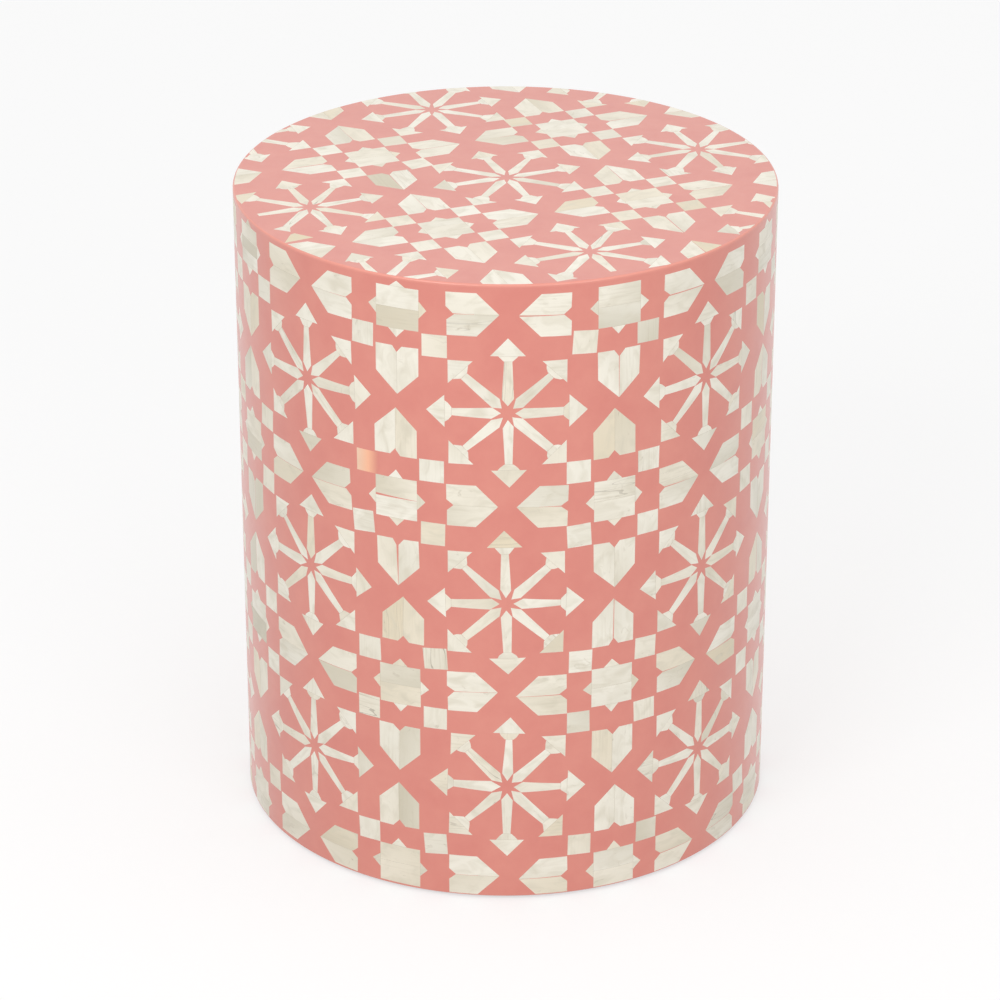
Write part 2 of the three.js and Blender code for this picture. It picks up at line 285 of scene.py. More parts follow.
def cut_away(target, cutters, name):
    """Takes each cutter's volume out of a piece, and leaves the piece a plain mesh again."""
    for cutter in cutters:
        cut = target.modifiers.new(name, "BOOLEAN")
        cut.operation = "DIFFERENCE"
        cut.solver = "MANIFOLD"
        cut.object = as_object(cutter, name)
    bpy.context.view_layer.update()
    whole = target.evaluated_get(bpy.context.evaluated_depsgraph_get())
    result = bpy.data.meshes.new_from_object(whole)
    mesh = bmesh.new()
    mesh.from_mesh(result)
    dress_cut(mesh)
    mesh.to_mesh(result)
    mesh.free()
    tools = [cut.object for cut in target.modifiers]
    target.modifiers.clear()
    target.data = result
    for tool in tools:
        bpy.data.objects.remove(tool)


base_profile = [
    (0, BASE_FOOT), (BASE_RADIUS - BASE_EASE, BASE_FOOT), (BASE_RADIUS, BASE_FOOT + BASE_EASE),
    (BASE_RADIUS, BASE_HEAD), (0, BASE_HEAD),
]
base = place(revolve(base_profile), "base_board_round", fibreboard, ["base_board"])

sinks = bmesh.new()
screws = bmesh.new()
recesses = [bmesh.new(), bmesh.new()]
for i in range(SCREW_COUNT):
    angle = 2 * math.pi * i / SCREW_COUNT
    centre = Vector((SCREW_CIRCLE * math.cos(angle), SCREW_CIRCLE * math.sin(angle), 0)) * MM
    foot = Matrix.Translation(centre + Vector((0, 0, BASE_FOOT + SCREW_SINK)) * MM)
    for mesh, wide, narrow, length, below in (
        (sinks, SCREW_RADIUS + SINK_MARGIN, SINK_NECK, SINK_DEPTH, SINK_BELOW),
        (screws, SCREW_RADIUS, SCREW_NECK, SCREW_HEAD_DEPTH, -SCREW_SINK),
    ):
        middle = centre + Vector((0, 0, BASE_FOOT - below + length / 2)) * MM
        bmesh.ops.create_cone(
            mesh, cap_ends=True, segments=SCREW_SEGMENTS, radius1=wide * MM,
            radius2=narrow * MM, depth=length * MM, matrix=Matrix.Translation(middle),
        )
    for recess, turn in zip(recesses, (RECESS_TURN, RECESS_TURN + QUARTER)):
        size = Matrix.Diagonal((RECESS_LENGTH * MM, RECESS_WIDTH * MM, 2 * RECESS_DEPTH * MM, 1))
        bmesh.ops.create_cube(
            recess, size=1, matrix=foot @ Matrix.Rotation(turn + i, 4, "Z") @ size
        )
cut_away(base, [sinks], "countersink")
base.data.set_sharp_from_angle(angle=SHARP_ANGLE)

# Zinc-plated steel: bright, a little blue, with a soft grey bloom.
ZINC_BLOOM = 1.5
zinc_settings = {"Roughness": 0.35, "Metallic": 1}
zinc, zinc_surface = start_material("zinc_plated_steel", "#b9bcc0", zinc_settings)
where = add_node(zinc, "ShaderNodeTexCoord")
inputs = {"Vector": where.outputs["Object"], "Scale": 1 / (ZINC_BLOOM * MM), "Detail": 2}
bloom = add_node(zinc, "ShaderNodeTexNoise", inputs)
dulling = add_node(zinc, "ShaderNodeMapRange", {0: bloom, 3: 0.28, 4: 0.5})
link(zinc, dulling, zinc_surface.inputs["Roughness"])

head_level = (BASE_FOOT + SCREW_SINK + LEVEL) * MM
rims = [edge for edge in screws.edges if all(vert.co.z < head_level for vert in edge.verts)]
bmesh.ops.bevel(
    screws, geom=rims, offset=SCREW_EASE * MM, segments=2, profile=0.5, affect="EDGES",
    material=-1,
)
base_screws = as_object(screws, "base_screws")
cut_away(base_screws, recesses, "screw_recess")
finish_piece(base_screws, zinc)


# THE GLIDES
# Four round nylon glides, moulded with a domed sole and a well for the nail that holds each one
# to the base board. Off-white and a little waxy.

GLIDE_SEGMENTS, NAIL_SEGMENTS = 48, 24
GLIDE_EASE = 0.3
WELL_RADIUS, WELL_TAPER = 4, 0.6
WELL_ROOF, NAIL_TOP = 1.2, 1.25  # how far both lie under the glide's flat top
WELL_LIP = ((0, 1.4), (0.5, 0.7), (1.4, 0.3))  # outwards from the well, and up
SOLE_CURVE = ((4.5, 0), (2.2, 0.15), (0.9, 0.7), (0.25, 1.7), (0, 2.8))  # in from the edge, and up
NAIL_RADIUS = 3.1
NAIL_DOME = ((0, 1.7), (0.6, 1.8), (0.9, 2.1), (1, 2.5))  # share of the radius, and up

# Nylon: moulded. Off-white, clouded where it cooled unevenly, with a dull waxy shine.
WAX_CLOUD = (3, 3, 3)
nylon_settings = {"Roughness": 0.42, "IOR": 1.53}
nylon, nylon_surface = start_material("nylon_moulded", "#e4e1d6", nylon_settings)
fleck(nylon, nylon_surface, WAX_CLOUD, "#dcd8ca", "#ebe9e0", 3)

for i in (1, 2, 3, 4):
    low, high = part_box(f"glide_{i}")
    centre = (low + high) / 2
    top, radius = high.z / MM, (high.x - low.x) / 2 / MM
    glide_profile = [
        (WELL_RADIUS - WELL_TAPER, top - WELL_ROOF),
        *[(WELL_RADIUS + outward, up) for outward, up in WELL_LIP],
        *[(radius - inward, up) for inward, up in SOLE_CURVE],
        (radius, top - GLIDE_EASE),
        (radius - GLIDE_EASE, top),
        (0, top),
        (0, top - WELL_ROOF),
    ]
    nail_profile = [
        *[(NAIL_RADIUS * share, up) for share, up in NAIL_DOME],
        (NAIL_RADIUS, top - NAIL_TOP),
        (0, top - NAIL_TOP),
    ]
    glide = revolve(glide_profile, GLIDE_SEGMENTS)
    nail = revolve(nail_profile, NAIL_SEGMENTS)
    for mesh in (glide, nail):
        bmesh.ops.translate(mesh, verts=mesh.verts, vec=(centre.x, centre.y, 0))
    place(glide, f"nylon_glide_{i}", nylon, [f"glide_{i}"])
    finish_piece(as_object(nail, f"glide_nail_{i}"), zinc)


# THE TESSERAE OF THE WALL
# Camel bone, sawn by hand into thin tiles and glued to the drum in a lattice of eight-spoked
# rosettes, stars, small squares and hearts. Grain, tint and fit differ from tile to tile.

STOOL_RADIUS = 182.5
STOOL_HEIGHT = 450
COLUMNS = 8
ROUND = 2 * math.pi * STOOL_RADIUS
COLUMN_PITCH = ROUND / COLUMNS
BEND_PITCH = ROUND / TURN_STEPS
STAR_HEIGHTS = [429.4, 294.2, 157.4, 17.9]
ROSETTE_HEIGHTS = [362.1, 225.9, 87.9]
BONE_THICKNESS = 0.9
BLANK_HALF = 30
FOOT_CUT = 2.9  # no tile of the wall reaches lower
SMALLEST_CHIP = 12  # mm2, under which a chip isn't worth gluing
GLUE_LINE = 0.14
GLUE_LAP, GLUE_SHORT = 0.01, 0.06  # how far glue reaches under a tile, and how far it stops short
LEAST_GAP = 0.05  # closer than this to a neighbour, a tile is filed back
CUT_SHIFT, CUT_TURN = 0.14, 0.011  # how far, in mm and radians, a hand-sawn edge wanders
RIM_REACH = 8  # facets of the rim, each way, that one tile can lie on

STAR_WIDE, STAR_HIGH = 14.6, 14.35  # half sizes of the star's square
TIP_LENGTH, TIP_HALF = 5.5, 5.3
TOP_ROW_TIP = 4.6  # the tips that point at the rim are shorter
OPEN_GAP = 1.5  # where the strips of one star have come apart
SQUARE_WIDE, SQUARE_HIGH = 8.05, 7.85  # half sizes of a small square
SQUARE_X, SQUARE_Y = 24.8, 23.15  # its middle, from the star's
HEART_BASE_X, HEART_BASE_Y = 33.0, 30.7
HEART_LENGTH, HEART_SHOULDER, HEART_HALF = 33.8, 19.5, 14.8
NOTCH_DEPTH, NOTCH_HALF = 4.5, 4
SPOKE_TIP, SPOKE_SHOULDER, SPOKE_HALF, WAIST_HALF = 4.4, 10.2, 3.95, 2.6
STRAIGHT_WAIST, SLANTED_WAIST = 36.2, 37.8
COLLAR_LENGTH = 4.2
NECK_HALF, COLLAR_HALF = 3, 6.7
ARROW_HALF, ARROW_LENGTH = 11.9, 12.3
CORNER_LEG = 16.2  # the slanted arrowhead's sides, square to each other
CORNER_GAP = 0.4  # between a slanted arrowhead's point and the small square it meets

PALE_BONE = 5  # the higher, the fewer tiles are grey or warm
PLAIN_BONE = 3  # the higher, the fewer tiles have a strong figure
TONE_LEAN = 0.014  # how much the tone of a tile changes for each mm across it
GRAIN_FIELD = 900  # mm of grain that the tiles are sawn from
DULL_SHADE = (0.62, 0.2)  # tone and warmth of a dark arrowhead
PEACH_SHINE = (0.36, 1)  # how far the resin shows through the ends of one thin square

# Each draw is how far the maker's hand strays, in mm, in radians or as a share of a size.
hand = random.Random(8)


def point(x, y):
    return Vector((x, y, 0))


def heading(angle):
    return point(math.cos(angle), math.sin(angle))


def moved(outline, spot, turn=0):
    spin = Matrix.Rotation(turn, 3, "Z")
    return [spin @ corner + spot for corner in outline]


def sides_of(outline):
    """The sides of an anticlockwise outline, each as its start, its end and the way out."""
    for here, there in zip(outline, outline[1:] + outline[:1]):
        along = (there - here).normalized()
        yield here, there, point(along.y, -along.x)


def cut_tile(tile, spot, out, clear_outer=True, dist=0):
    everything = tile.verts[:] + tile.edges[:] + tile.faces[:]
    bmesh.ops.bisect_plane(
        tile, geom=everything, plane_co=spot, plane_no=out, clear_outer=clear_outer, dist=dist
    )


def join_to(mesh, tiles):
    data = bpy.data.meshes.new("tiles")
    tiles.to_mesh(data)
    mesh.from_mesh(data)
    bpy.data.meshes.remove(data)


def widest_gap(outline, other):
    """How far an outline keeps off the side of another that it keeps off most, and that side."""
    gaps = [
        (min((corner - here).dot(out) for corner in outline), here, out)
        for here, there, out in sides_of(other)
    ]
    return max(gaps, key=lambda gap: gap[0])


class Sheet:
    """Flat tesserae of one stretch of inlay, in mm: x along the wall, y up it, and z out of it.
    Each kind of motif has its own mesh, because tiles of one kind never touch each other."""

    def __init__(self, rim=None, beside=()):
        self.meshes = {}
        self.rim = rim
        self.laid = list(beside)

    def saw(
        self, kind, outline, grain=0, joints=(), ease=1,
        varied=1, lean=None, shine=(0, 0), glue=(), shade=None,
    ):
        """Saws one tile out of a blank, with one cut along each side of its convex outline.
        grain is the angle of its grain, joints the sides that meet another tile, ease how freely
        the other cuts wander, varied how far its tone strays, lean which way it darkens, shine
        how far the resin shows through its left and right ends, glue the sides along which a
        line of glue is left, and shade its tone and warmth where they are known."""
        middle = sum(outline, point(0, 0)) / len(outline)
        tile = bmesh.new()
        tint_layer = tile.verts.layers.float_color.new("tint")
        grain_layer = tile.loops.layers.uv.new("grain")
        bmesh.ops.create_grid(
            tile, x_segments=1, y_segments=1, size=BLANK_HALF, matrix=Matrix.Translation(middle)
        )
        for side, (here, there, out) in enumerate(sides_of(outline)):
            wander = 0 if side in joints else ease
            shift = out * hand.gauss(0, CUT_SHIFT) * wander
            turn = Matrix.Rotation(hand.gauss(0, CUT_TURN) * wander, 3, "Z")
            cut_tile(tile, (here + there) / 2 + shift, turn @ out)
        if self.rim and any(corner.length > self.rim for corner in outline):
            self.cut_at_rim(tile, middle)
        elif not self.rim:
            cut_tile(tile, point(0, FOOT_CUT), point(0, -1))
        if kind != "glue":
            self.file_clear(tile)
        tone, warmth = hand.expovariate(PALE_BONE), hand.expovariate(PALE_BONE)
        figure = hand.random() ** PLAIN_BONE
        tone, warmth = shade or (tone * varied, warmth * varied)
        if lean is None:
            lean = point(hand.gauss(0, TONE_LEAN), hand.gauss(0, TONE_LEAN)) * varied
        shift = Vector((hand.uniform(0, GRAIN_FIELD), hand.uniform(0, GRAIN_FIELD)))
        turned = Matrix.Rotation(-grain, 2)
        left, right = min(corner.x for corner in outline), max(corner.x for corner in outline)
        for vert in tile.verts:
            across = (vert.co.x - left) / (right - left)
            vert[tint_layer] = (
                min(1, max(0, tone + lean.dot(vert.co - middle))),
                min(1, warmth),
                shine[0] + (shine[1] - shine[0]) * across,
                figure,
            )
        for face in tile.faces:
            for loop in face.loops:
                loop[grain_layer].uv = turned @ (loop.vert.co - middle).xy + shift
        if kind == "glue" or sum(face.calc_area() for face in tile.faces) > SMALLEST_CHIP:
            if kind not in self.meshes:
                self.meshes[kind] = bmesh.new()
            join_to(self.meshes[kind], tile)
        tile.free()
        for side, (here, there, out) in enumerate(sides_of(outline)):
            if side in glue:
                near, far = out * -GLUE_LAP, out * (GLUE_LINE + GLUE_LAP)
                start = here.lerp(there, GLUE_SHORT / (there - here).length)
                stop = there.lerp(here, GLUE_SHORT / (there - here).length)
                line = [start + near, start + far, stop + far, stop + near]
                self.saw("glue", line, joints=range(4))

    def cut_at_rim(self, tile, middle):
        """Follows the round rim with short straight cuts."""
        step = 2 * math.pi / TURN_STEPS
        nearest = round(math.atan2(middle.y, middle.x) / step)
        for i in range(nearest - RIM_REACH, nearest + RIM_REACH + 1):
            cut_tile(tile, heading(i * step) * self.rim, heading(i * step))

    def file_clear(self, tile):
        """Files the tile wherever it would touch one that is already laid."""
        if not tile.faces:
            return
        corners = [vert.co.copy() for vert in list(tile.faces)[0].verts]
        middle = sum(corners, point(0, 0)) / len(corners)
        size = max((corner - middle).length for corner in corners)
        for spot, reach, others in self.laid:
            if abs(spot.x - middle.x) > size + reach or (spot - middle).length > size + reach:
                continue
            gap, here, out = widest_gap(corners, others)
            if gap < LEAST_GAP and widest_gap(others, corners)[0] < LEAST_GAP:
                cut_tile(tile, here + out * 2 * LEAST_GAP, -out)
        if tile.faces:
            corners = [vert.co.copy() for vert in list(tile.faces)[0].verts]
            self.laid.append((middle, size, corners))


def lay_star(
    sheet, spot, turn=0, tips=(0, 1, 2, 3), top_tip=TIP_LENGTH, gap=GLUE_LINE, shades=()
):
    """A square of two or three strips, its grain across, with a triangle glued to each side.
    gap is how far the strips stand apart at the left, and shades their tone and warmth, from the
    lower one up, where they are known."""
    turn += hand.gauss(0, 0.01)
    strips = len(shades) or hand.choice((2, 2, 3))
    cuts = [STAR_HIGH * (2 * i / strips - 1) + hand.uniform(-1.5, 1.5) for i in range(1, strips)]
    if shades:
        cuts = [0]
    levels = [-STAR_HIGH] + cuts + [STAR_HIGH]
    right, upper, left, lower = (half + hand.gauss(0, 0.15) for half in (STAR_WIDE, STAR_HIGH) * 2)
    levels[0], levels[-1] = -lower, upper
    for i, (low, high) in enumerate(zip(levels, levels[1:])):
        near_low = low + gap - GLUE_LINE / 2 if i > 0 else low
        far_low = low + GLUE_LINE / 2 if i > 0 else low
        high -= GLUE_LINE / 2 if i < strips - 1 else 0
        outline = [point(-left, near_low), point(right, far_low)]
        outline += [point(right, high), point(-left, high)]
        outline = moved(outline, spot, turn)
        glue = [0] if i > 0 and gap == GLUE_LINE else []
        shade = shades[i] if shades else None
        sheet.saw("star", outline, turn, joints=range(4), glue=glue, shade=shade)
    for i in tips:
        base = (right, upper, left, lower)[i] + GLUE_LINE
        length = (top_tip if i == 1 else TIP_LENGTH) * hand.uniform(0.9, 1.1)
        half = TIP_HALF * hand.uniform(0.9, 1.1)
        aside = hand.uniform(-0.8, 0.8)
        outline = [
            point(base, aside - half),
            point(base + length, aside + hand.uniform(-0.5, 0.5)),
            point(base, aside + half),
        ]
        outline = moved(moved(outline, point(0, 0), i * QUARTER), spot, turn)
        grain = hand.choice((0, QUARTER))
        sheet.saw("star", outline, grain, joints=[2], ease=0.7, varied=0.8, glue=[2])


def lay_square(sheet, spot, turn=0, shine=(0, 0)):
    wide = SQUARE_WIDE * hand.uniform(0.98, 1.02)
    high = SQUARE_HIGH * hand.uniform(0.98, 1.02)
    outline = [point(-wide, -high), point(wide, -high), point(wide, high), point(-wide, high)]
    spot = spot + point(hand.gauss(0, 0.3), hand.gauss(0, 0.3))
    outline = moved(outline, spot, turn + hand.gauss(0, 0.03))
    sheet.saw("square", outline, turn + hand.choice((0, QUARTER)), varied=0.75, shine=shine)


def lay_heart(sheet, spot, turn, base, cleft=None):
    """Two mirrored halves, glued along the middle, that point away from the star. Some gape from
    the notch, where resin fills the cleft. Each half darkens towards the joint. cleft holds how
    far each half stands off and how far along the joint the cleft ends, where they are known."""
    turn += hand.gauss(0, 0.012)
    aside = hand.gauss(0, 0.2)
    drawn = hand.choice((0, 0, 0, 0.1, 0.2, 0.35)), hand.uniform(0.35, 1.1)
    gape, closes = cleft or drawn
    edge = GLUE_LINE / 2
    for side in (1, -1):
        slip = hand.gauss(0, 0.25)
        lean = point(hand.gauss(0, 0.008), -side * hand.uniform(-0.006, 0.03))
        lean = moved([lean], point(0, 0), turn)[0]
        notch = point(base + NOTCH_DEPTH + slip, edge + gape)
        tip = point(base + HEART_LENGTH + hand.gauss(0, 0.2), edge)
        outline = [
            notch,
            tip,
            point(base + HEART_SHOULDER + slip, HEART_HALF),
            point(base + slip, HEART_HALF),
            point(base + slip, NOTCH_HALF + hand.gauss(0, 0.4)),
        ]
        if gape and closes < 1:
            outline = [point(notch.lerp(tip, closes).x, edge)] + outline[1:] + [notch]
        if side < 0:
            outline = [point(corner.x, -corner.y) for corner in outline]
            outline = outline[1::-1] + outline[:1:-1]
        outline = moved(moved(outline, point(0, aside)), spot, turn)
        glued = side > 0 and (not gape or closes < 1)
        sheet.saw("heart", outline, turn, joints=[0], lean=lean, glue=[0] if glued else [])


def lay_rosette(sheet, spot, corners, turn=0, slim=1, bare=(), headless=(), dull=()):
    """Eight tapered spokes, each with a collar and an arrowhead. corners holds, for the four
    slanted arrowheads, where their points lie. slim narrows the spokes. A bare spoke has neither
    collar nor arrowhead, a headless one has its collar only, and a dull one a dark arrowhead."""
    turn += hand.gauss(0, 0.01)
    for i in range(8):
        length = COLLAR_LENGTH * hand.uniform(0.85, 1.15)
        if i % 2:
            corner = corners[i // 2]
            across = math.copysign(CORNER_LEG, -corner.x)
            up = math.copysign(CORNER_LEG, -corner.y)
            foot = corner + point(across, up) / 2
            aim = math.atan2(-up, -across)
            arrow = [corner + point(across, 0), corner.copy(), corner + point(0, up)]
            if across * up > 0:
                arrow.reverse()
            length = foot.dot(heading(aim)) - SLANTED_WAIST
        else:
            aim = i * QUARTER / 2 + hand.gauss(0, 0.012)
            foot = heading(aim) * (STRAIGHT_WAIST + length)
            half = ARROW_HALF * slim * hand.uniform(0.86, 1.04)
            arrow = [point(0, -half), point(ARROW_LENGTH, hand.gauss(0, 0.3)), point(0, half)]
            arrow = moved(arrow, foot, aim)

        neck = foot - heading(aim) * (length + GLUE_LINE)
        reach, angle = neck.length, math.atan2(neck.y, neck.x)
        broad = SPOKE_HALF * slim * hand.uniform(0.9, 1.04)
        waist = WAIST_HALF * slim * hand.uniform(0.8, 1.15)
        spoke = [
            point(SPOKE_TIP + hand.uniform(-0.4, 0.6), 0),
            point(SPOKE_SHOULDER + hand.uniform(-0.8, 0.8), -broad),
            point(reach, -waist),
            point(reach, waist),
            point(SPOKE_SHOULDER + hand.uniform(-0.8, 0.8), broad),
        ]
        spoke = moved(moved(spoke, point(0, 0), angle), spot, turn)
        glue = [] if i in bare else [2]
        sheet.saw("rosette", spoke, turn + angle, joints=[2], ease=0.6, varied=0.5, glue=glue)
        if i in bare:
            continue

        flare = COLLAR_HALF * hand.uniform(0.85, 1.12)
        belly = flare * hand.uniform(0.7, 0.85)
        end = -GLUE_LINE
        collar = [
            point(-length, -NECK_HALF), point(-length / 2, -belly), point(end, -flare),
            point(end, flare), point(-length / 2, belly), point(-length, NECK_HALF),
        ]
        collar = moved(moved(collar, foot, aim), spot, turn)
        grain = turn + angle + hand.choice((0, QUARTER))
        glue = [] if i in headless else [2]
        sheet.saw("rosette", collar, grain, joints=[2, 5], ease=0.5, varied=0.5, glue=glue)
        if i in headless:
            continue

        arrow = moved(arrow, spot, turn)
        grain = turn + hand.choice((0, QUARTER))
        shade = DULL_SHADE if i in dull else None
        sheet.saw("rosette", arrow, grain, joints=[2], ease=0.8, varied=0.6, shade=shade)


# What the hand that laid it left: how far motifs lie off the lattice, in mm, by column and row
# from the top. Columns count from the front one. Round the back, they drift back into step.
star_shifts = {
    (-2, 0): (-0.1, 0.9), (-2, 1): (-1.3, -0.1), (-2, 2): (-1.8, -1), (-2, 3): (-6, -2.4),
    (-1, 0): (0.8, -0.8), (-1, 1): (-1.5, 0), (-1, 2): (-0.3, -0.5), (-1, 3): (-2, 0),
    (0, 0): (2.7, 0.7), (0, 1): (1.2, -0.5), (0, 2): (0.8, -1), (0, 3): (3.7, -2),
    (1, 0): (7.5, -1.8), (1, 1): (5.6, -0.5), (1, 2): (7.2, -3.5), (1, 3): (8.2, -1.2),
}
rosette_shifts = {
    (-1, 0): (0.2, 0.2), (-1, 1): (-0.4, 0), (-1, 2): (-1.2, 0.5),
    (0, 0): (1.2, -1), (0, 1): (0.2, -1.5), (0, 2): (1, -1),
    (1, 0): (2, 1), (1, 1): (1.8, -1), (1, 2): (2.5, -2.2),
}
star_drift = {2: 5.5, 3: 4, -4: 2, -3: 0}
rosette_drift = {2: 6.5, 3: 5, -4: 3, -3: 1, -2: -1}

# Hearts off their star's place, by its column and row and by quarter turns from the right.
heart_shifts = {
    (-2, 2, 0): (1.2, 1.5), (-2, 3, 0): (3.2, 4), (-1, 0, 3): (-0.5, 4.5), (-1, 1, 0): (1.5, 0.2),
    (-1, 1, 2): (-1, -1.2), (-1, 1, 3): (0.5, 1.5), (-1, 2, 1): (1.8, 1.8), (-1, 3, 0): (2.5, -0.8),
    (0, 0, 2): (0.5, -2.5), (0, 1, 2): (0.8, -1.2), (0, 2, 0): (1.5, 0.2), (0, 2, 2): (1.5, -1.2),
    (0, 2, 3): (1.2, -1.8), (1, 0, 2): (-4.5, 0.2), (1, 1, 2): (-3, -0.2), (1, 2, 2): (-3, 1.8),
}
heart_clefts = {(-1, 1, 3): (0.7, 1.1), (0, 0, 3): (0.2, 1.1), (0, 1, 2): (0.3, 0.5)}

# Squares off their star's place, by its column and row, and by their side and height from it.
square_shifts = {
    (-2, 0, 1, -1): (-1.2, 1.5), (-2, 1, 1, 1): (0, -1.5), (-2, 2, 1, 1): (-1, 1),
    (-2, 3, 1, 1): (1, 2.2), (-1, 0, -1, -1): (0.2, 2), (-1, 1, 1, -1): (0.5, 1.2),
    (-1, 1, -1, 1): (4, -0.5), (-1, 1, -1, -1): (0.5, 1.8), (-1, 2, 1, -1): (-0.5, 1.8),
    (-1, 2, -1, 1): (2.8, 0), (-1, 2, -1, -1): (0.5, 2.2), (-1, 3, 1, 1): (0.8, -2),
    (-1, 3, -1, 1): (2, -0.5), (0, 0, 1, -1): (-3.5, 1.5), (0, 0, -1, -1): (1.5, 1),
    (0, 1, 1, -1): (-0.2, 1.2), (0, 2, -1, 1): (2.5, -1.5), (0, 2, -1, -1): (1.5, -0.8),
    (1, 0, -1, -1): (-0.8, 1.2), (1, 3, -1, 1): (-0.5, -1.5),
}

# Some stars have one strip paler than the other: tone and warmth of each, from the lower one up.
star_shades = {
    (-1, 0): ((0.75, 0.3), (0, 0)), (-1, 1): ((0.05, 0), (0.3, 0.25)),
    (0, 0): ((0.5, 0), (0.2, 0.1)), (0, 1): ((0.1, 0.1), (0.1, 0.1)),
}
blunt_star, open_star, dull_rosette = (0, 0), (-1, 1), (-1, 0)
peach_square = (-1, 1, -1, 1)
FOUR_WAYS = ((1, 1), (1, -1), (-1, 1), (-1, -1))  # from a star to its squares


def wander(shifts, key, drift=0):
    """How far a motif lies off the lattice: as known, or else as the hand happens to stray."""
    if key in shifts:
        return point(*shifts[key])
    return point(drift + hand.gauss(0, 0.4), hand.gauss(0, 0.3))


wall_sheets = []
for column in range(COLUMNS):
    beside = list(wall_sheets[-1].laid) if wall_sheets else []
    if column == COLUMNS - 1:
        beside += [
            (middle + point(ROUND, 0), size, moved(corners, point(ROUND, 0)))
            for middle, size, corners in wall_sheets[0].laid
        ]
    sheet = Sheet(beside=beside)
    near = (column + COLUMNS // 2) % COLUMNS - COLUMNS // 2  # columns counted from the front one
    for row, height in enumerate(STAR_HEIGHTS):
        first, last = row == 0, row == len(STAR_HEIGHTS) - 1
        spot = point((column + 0.5) * COLUMN_PITCH, height)
        spot += wander(star_shifts, (near, row), star_drift.get(near, 0))
        no_tip = 3 if last else 1 if (near, row) == blunt_star else None
        lay_star(
            sheet,
            spot,
            tips=[i for i in range(4) if i != no_tip],
            top_tip=TOP_ROW_TIP if first else TIP_LENGTH,
            gap=OPEN_GAP if (near, row) == open_star else GLUE_LINE,
            shades=star_shades.get((near, row), ()),
        )
        for across, up in FOUR_WAYS:
            if (first and up > 0) or (last and up < 0):
                continue
            key = (near, row, across, up)
            beside_star = spot + point(across * SQUARE_X, up * SQUARE_Y)
            beside_star += point(*square_shifts.get(key, (0, 0)))
            lay_square(sheet, beside_star, shine=PEACH_SHINE if key == peach_square else (0, 0))
        for i in range(4):
            if (first and i == 1) or (last and i == 3):
                continue
            key = (near, row, i)
            heart_spot = spot + point(*heart_shifts.get(key, (0, 0)))
            heart_base = HEART_BASE_Y if i % 2 else HEART_BASE_X
            lay_heart(sheet, heart_spot, i * QUARTER, heart_base, heart_clefts.get(key))
    for row, height in enumerate(ROSETTE_HEIGHTS):
        reach_x = COLUMN_PITCH / 2 - SQUARE_X - SQUARE_WIDE - CORNER_GAP
        above = STAR_HEIGHTS[row] - height - SQUARE_Y - SQUARE_HIGH - CORNER_GAP
        below = height - STAR_HEIGHTS[row + 1] - SQUARE_Y - SQUARE_HIGH - CORNER_GAP
        heights = (above, above, -below, -below)
        corners = [point(side * reach_x, up) for side, up in zip((1, -1, -1, 1), heights)]
        rosette_spot = point(column * COLUMN_PITCH, height)
        rosette_spot += wander(rosette_shifts, (near, row), rosette_drift.get(near, 0))
        lay_rosette(sheet, rosette_spot, corners, dull=[6] if (near, row) == dull_rosette else ())
    wall_sheets.append(sheet)


def on_wall(spot):
    """Bends a spot of a flat sheet onto the drum."""
    angle = spot.x / STOOL_RADIUS - QUARTER
    radius = STOOL_RADIUS + spot.z
    return Vector((radius * math.cos(angle), radius * math.sin(angle), spot.y)) * MM


def solid_tiles(sheets, kinds, low, high, lay):
    """Flat tiles as solids from depth low to depth high, laid where lay puts them. Tiles of the
    wall are first scored at every facet of the drum, so that they bend with it."""
    solid = bmesh.new()
    for sheet in sheets:
        for kind in kinds:
            join_to(solid, sheet.meshes[kind])
    if lay is on_wall:
        left = min(vert.co.x for vert in solid.verts)
        right = max(vert.co.x for vert in solid.verts)
        for i in range(math.ceil(left / BEND_PITCH), math.floor(right / BEND_PITCH) + 1):
            cut_tile(solid, point(i * BEND_PITCH, 0), (1, 0, 0), False, SAME_SPOT)
    beds = solid.verts[:]
    faces = bmesh.ops.extrude_face_region(solid, geom=solid.faces[:])["geom"]
    raised = [part for part in faces if isinstance(part, bmesh.types.BMVert)]
    bmesh.ops.translate(solid, verts=beds, vec=(0, 0, low))
    bmesh.ops.translate(solid, verts=raised, vec=(0, 0, high))
    bmesh.ops.recalc_face_normals(solid, faces=solid.faces[:])
    for vert in solid.verts:
        vert.co = lay(vert.co)
    return solid


# Camel bone: sawn, glued and sanded flush, then polished. Cream to grey and beige from tile to
# tile, with long fine grain, cloudy patches, and hairline cracks along the grain.
bone_settings = {"Roughness": 0.36, "IOR": 1.54}
bone, bone_surface = start_material("camel_bone_sanded", "#eeecdf", bone_settings)
tint = add_node(bone, "ShaderNodeAttribute", attribute_name="tint")
tint_parts = add_node(bone, "ShaderNodeSeparateColor", {0: tint.outputs["Color"]})
tone, warmth, shine = tint_parts.outputs
figure = tint.outputs["Alpha"]
grain_map = add_node(bone, "ShaderNodeUVMap", uv_map="grain")

# Each pattern with the length and width of its marks in mm, its detail and its distortion.
patterns = {}
for name, length, width, detail, distortion in (
    ("clouds", 15, 8, 2, 0.5),
    ("streaks", 26, 1.5, 3, 0),
    ("stains", 11, 6, 3, 0.8),
    ("pores", 2.4, 0.4, 2, 0),
    ("cracks", 90, 7, 1, 0.15),
):
    scale = (1 / length, 1 / width, 1)
    along_grain = add_node(bone, "ShaderNodeMapping", {"Vector": grain_map, "Scale": scale})
    inputs = {"Vector": along_grain, "Scale": 1, "Detail": detail, "Distortion": distortion}
    patterns[name] = add_node(bone, "ShaderNodeTexNoise", inputs, noise_dimensions="2D")

